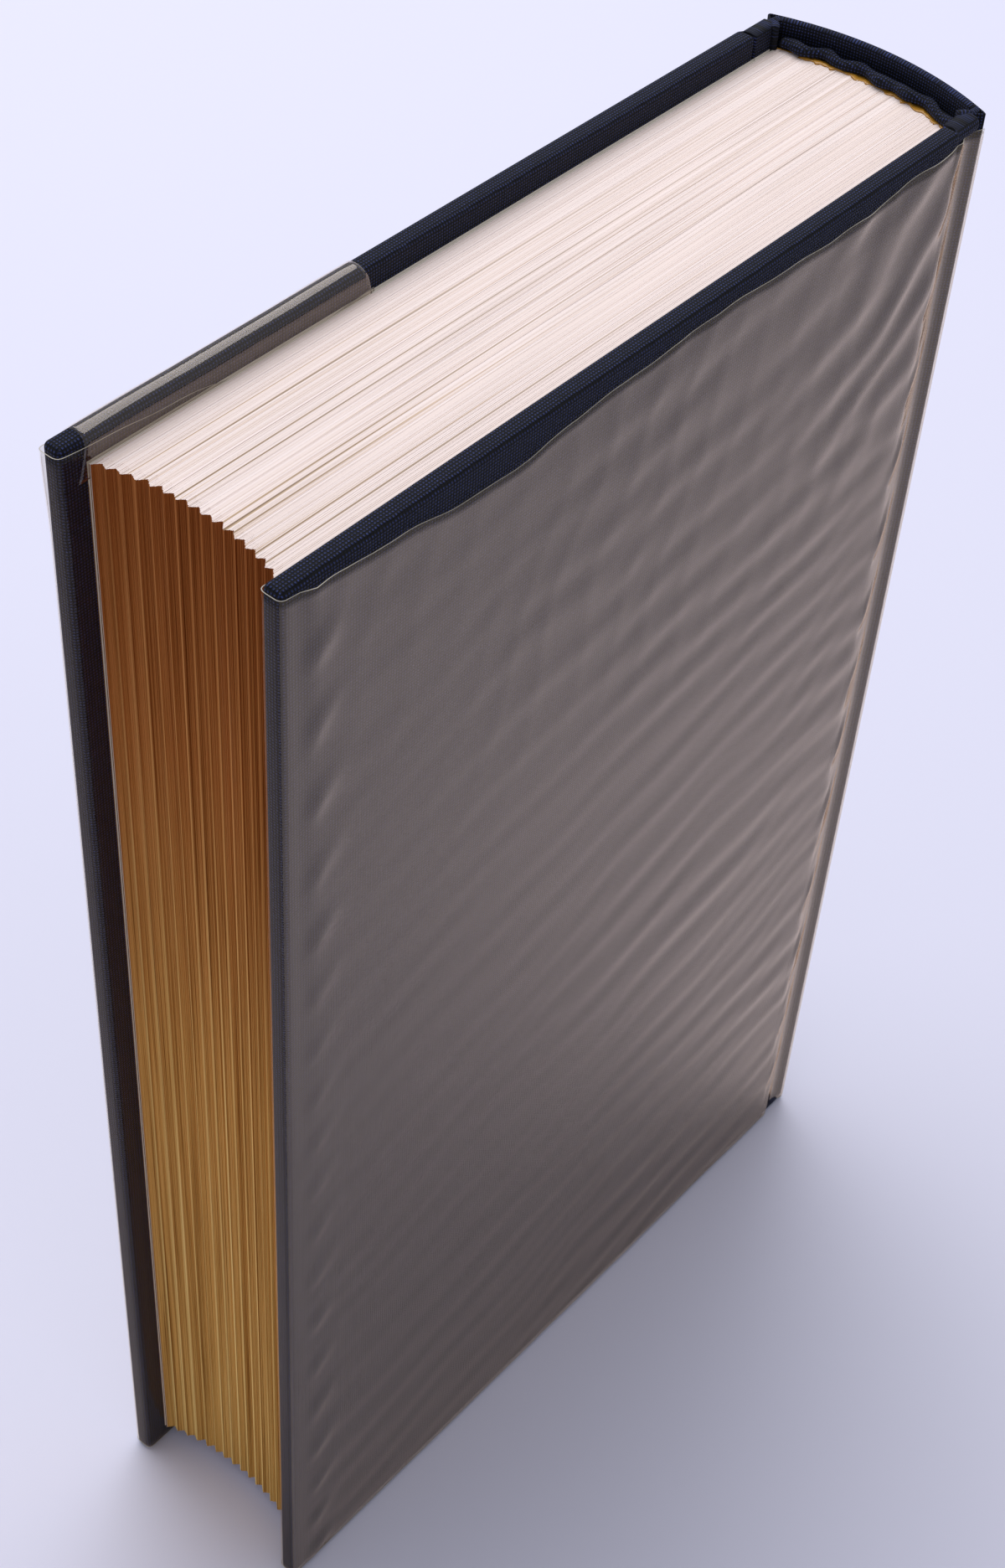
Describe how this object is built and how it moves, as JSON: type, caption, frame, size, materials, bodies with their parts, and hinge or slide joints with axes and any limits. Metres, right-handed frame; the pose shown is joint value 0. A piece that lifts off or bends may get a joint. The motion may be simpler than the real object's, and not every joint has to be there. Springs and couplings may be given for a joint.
{
  "type": "hardback book",
  "caption": "Closed case-bound hardback book with a rounded back, cloth-covered boards, sewn sections, head and tail bands and a clear film jacket; both covers swing open.",
  "frame": {"origin": "middle of the footprint at the level the book stands on, its tail edge", "axes": "+X from the spine to the fore edge, +Y from the front cover to the back cover, +Z from the tail to the head"},
  "size_m": [0.1384, 0.0374, 0.2151],
  "materials": {
    "page_paper": "uncoated, matt",
    "endpaper": "uncoated, matt",
    "book_cloth": "woven, matt",
    "band_cloth": "woven, matt",
    "lining_cloth": "open weave",
    "grey_card": "matt",
    "binding_glue": "dried amber glue",
    "clear_film": "clear, glossy"
  },
  "bodies": {
    "book": {"text_block": "page_paper", "spine_glue": "binding_glue", "spine_lining": "lining_cloth", "headband": "band_cloth", "tailband": "band_cloth", "spine_stiffener": "grey_card", "spine_cloth": "book_cloth", "spine_jacket": "clear_film", "back_endpaper": "endpaper", "front_endpaper": "endpaper"},
    "back_cover": {"back_board": "grey_card", "back_cloth": "book_cloth", "back_pastedown": "endpaper", "back_jacket": "clear_film"},
    "front_cover": {"front_board": "grey_card", "front_cloth": "book_cloth", "front_pastedown": "endpaper", "front_jacket": "clear_film"}
  },
  "joints": [
    {"name": "back_cover_hinge", "type": "hinge", "parent": "book", "child": "back_cover", "pos_m": [-0.06258, 0.01629, 0.1075], "axis": [0, 0, 1], "range_deg": [0, 110]},
    {"name": "front_cover_hinge", "type": "hinge", "parent": "book", "child": "front_cover", "pos_m": [-0.06258, -0.01629, 0.1075], "axis": [0, 0, -1], "range_deg": [0, 110]}
  ]
}
